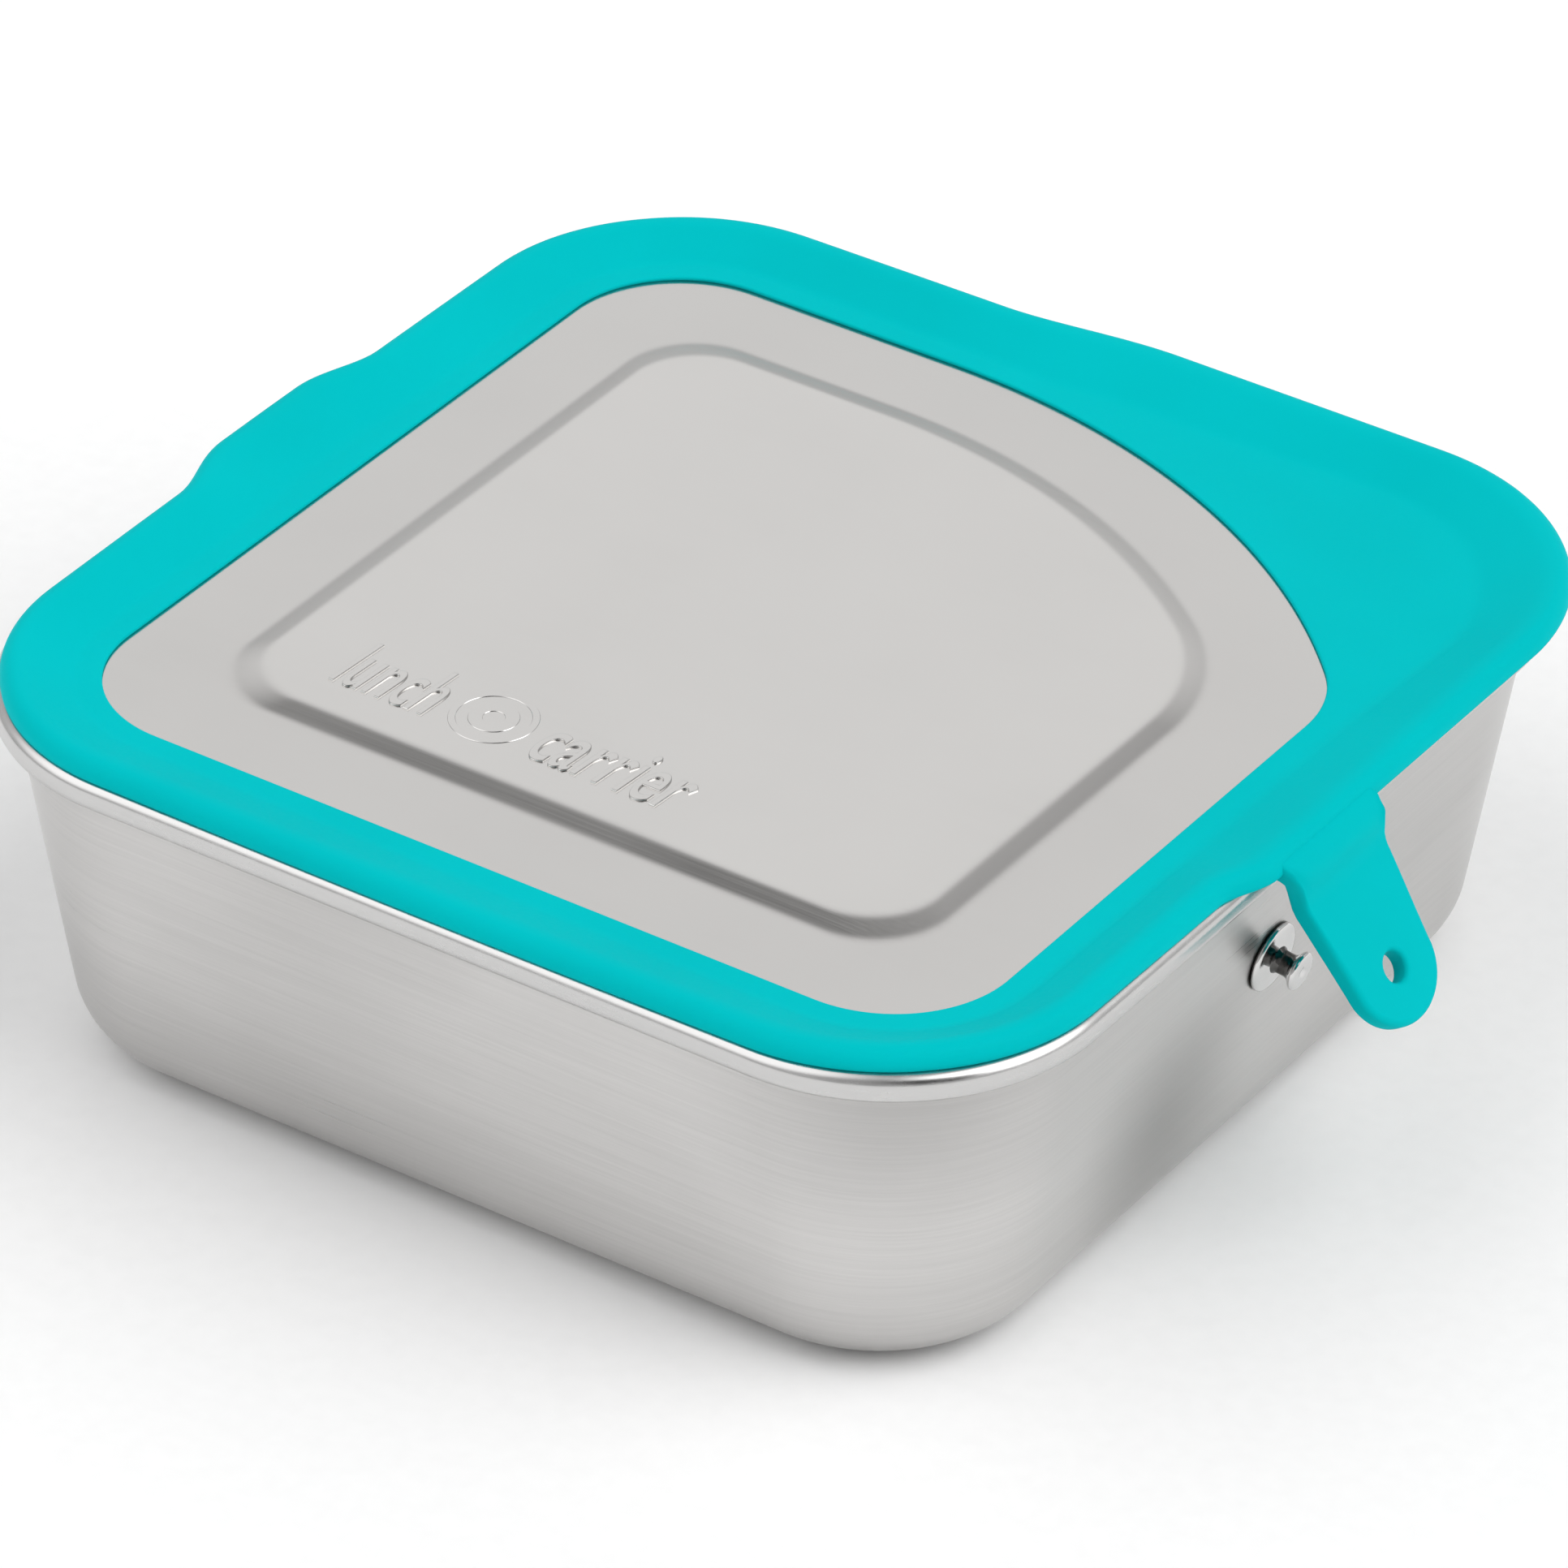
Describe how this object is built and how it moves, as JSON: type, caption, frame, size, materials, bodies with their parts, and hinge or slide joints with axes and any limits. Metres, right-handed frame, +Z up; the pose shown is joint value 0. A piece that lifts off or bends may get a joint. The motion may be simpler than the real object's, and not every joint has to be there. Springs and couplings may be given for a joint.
{
  "type": "lunch box",
  "caption": "Square stainless steel lunch box with a lift-off silicone-edged lid, pressed steel panel, finger tab, and a flexible latch strap that hooks on a side stud.",
  "frame": {"origin": "centre of the tray's flat base, where the box stands", "axes": "+Z up, +X towards the side with the latch strap and stud, -X towards the finger tab, -Y towards the long plain side"},
  "size_m": [0.1821, 0.1644, 0.0557],
  "materials": {
    "tray_steel": "satin",
    "stud_steel": "polished",
    "panel_steel": "satin",
    "frame_silicone": "matte",
    "strap_silicone": "matte"
  },
  "bodies": {
    "box": {"tray": "tray_steel", "latch_stud": "stud_steel"},
    "lid": {"lid_frame": "frame_silicone", "lid_panel": "panel_steel"},
    "strap": {"lid_strap": "strap_silicone"}
  },
  "joints": [
    {"name": "lid_lift", "type": "slide", "parent": "box", "child": "lid", "axis": [0, 0, 1], "range_m": [0, 0.08]},
    {"name": "strap_bend", "type": "hinge", "parent": "lid", "child": "strap", "pos_m": [0.084, -0.0004, 0.0532], "axis": [0, -1, 0], "range_deg": [-25, 120], "stiffness_Nm_per_rad": 0.02}
  ]
}
